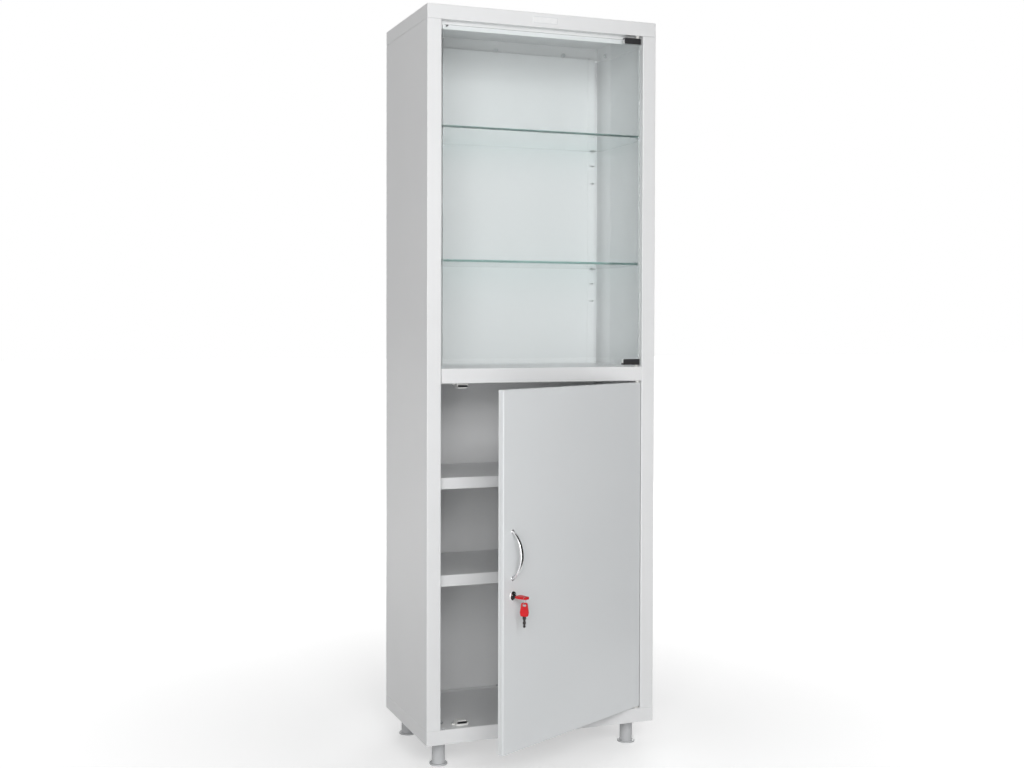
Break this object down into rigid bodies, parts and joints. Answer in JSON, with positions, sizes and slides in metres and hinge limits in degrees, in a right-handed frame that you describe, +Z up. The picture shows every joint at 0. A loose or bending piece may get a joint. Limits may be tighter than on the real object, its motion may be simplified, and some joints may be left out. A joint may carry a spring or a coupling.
{
  "type": "medicine cabinet",
  "caption": "Tall free-standing steel clinic cabinet with glass shelves behind a frameless glass door, a lower steel door with cam lock and bow handle, and short legs.",
  "frame": {"origin": "on the floor under the middle of the carcass footprint", "axes": "+X to the right along the front, the front faces -Y, +Z up"},
  "size_m": [0.55, 0.5697, 1.668],
  "materials": {
    "enamel": "smooth light grey-white powder coat",
    "door_enamel": "smooth light grey-blue powder coat",
    "badge": "satin, blank",
    "glass": "clear float glass with green edges",
    "clamp_black": "satin black",
    "rubber": "matt black",
    "zinc": "bright zinc plate",
    "dark_steel": "dark passivated",
    "nylon": "natural nylon",
    "leg_plastic": "moulded light grey",
    "catch_plastic": "moulded white",
    "magnet": "black ferrite",
    "handle": "satin chrome",
    "chrome": "bright chrome",
    "key_steel": "black nickel",
    "key_red": "moulded red"
  },
  "bodies": {
    "carcass": {"back_panel": "enamel", "badge_plate": "badge", "base_pan": "enamel", "cap_nuts": "zinc", "cap_studs": "zinc", "catch_screws": "zinc", "deck_screws": "zinc", "frame_bolts": "zinc", "frame_nuts": "zinc", "glass_door_bumper": "rubber", "glass_door_pins": "zinc", "glass_shelf_clips": "zinc", "left_side_panel": "enamel", "leg_bolts": "dark_steel", "leg_front_left": "leg_plastic", "leg_front_right": "leg_plastic", "leg_rear_left": "leg_plastic", "leg_rear_right": "leg_plastic", "leg_washers": "zinc", "lower_catch_case": "catch_plastic", "lower_catch_magnet": "magnet", "lower_door_pins": "zinc", "lower_glass_shelf": "glass", "lower_steel_shelf": "enamel", "middle_deck": "enamel", "right_side_panel": "enamel", "steel_shelf_clips": "zinc", "stop_rail": "enamel", "stop_rail_screws": "zinc", "top_cap": "enamel", "upper_catch_case": "catch_plastic", "upper_catch_magnet": "magnet", "upper_glass_shelf": "glass", "upper_steel_shelf": "enamel"},
    "glass_door": {"glass_pane": "glass", "upper_pane_clamp": "clamp_black", "lower_pane_clamp": "clamp_black", "clamp_pads": "rubber", "clamp_screws": "zinc", "glass_door_bushes": "nylon"},
    "lower_door": {"lower_door_face": "door_enamel", "lower_door_back": "door_enamel", "lower_door_stiffener": "zinc", "lower_door_top_bush": "nylon", "lower_door_bottom_bush": "nylon", "bow_handle": "handle", "handle_screws": "zinc", "strike_plates": "zinc", "lock_housing": "chrome", "lock_nut": "zinc"},
    "lock": {"lock_plug": "chrome", "lock_cam": "zinc", "cam_screw": "zinc"},
    "key": {"key_blade": "key_steel", "key_bow": "key_red"},
    "key_ring": {"key_ring": "chrome", "spare_key_bow": "key_red", "spare_key_blade": "key_steel"}
  },
  "joints": [
    {"name": "glass_door_hinge", "type": "hinge", "parent": "carcass", "child": "glass_door", "pos_m": [0.231, -0.153, 1.25], "axis": [0, 0, 1], "range_deg": [0, 110]},
    {"name": "lower_door_hinge", "type": "hinge", "parent": "carcass", "child": "lower_door", "pos_m": [0.234, -0.154, 0.468], "axis": [0, 0, 1], "range_deg": [-28, 77]},
    {"name": "lock_turn", "type": "hinge", "parent": "lower_door", "child": "lock", "pos_m": [-0.15891, -0.36291, 0.419], "axis": [0.4695, -0.8829, 0], "range_deg": [0, 90]},
    {"name": "key_slide", "type": "slide", "parent": "lock", "child": "key", "axis": [0.4695, -0.8829, 0], "range_m": [0, 0.014]},
    {"name": "key_ring_swing", "type": "hinge", "parent": "key", "child": "key_ring", "pos_m": [-0.14388, -0.40237, 0.41454], "axis": [-0.7986, 0.6018, 0], "range_deg": [-30, 30]}
  ]
}
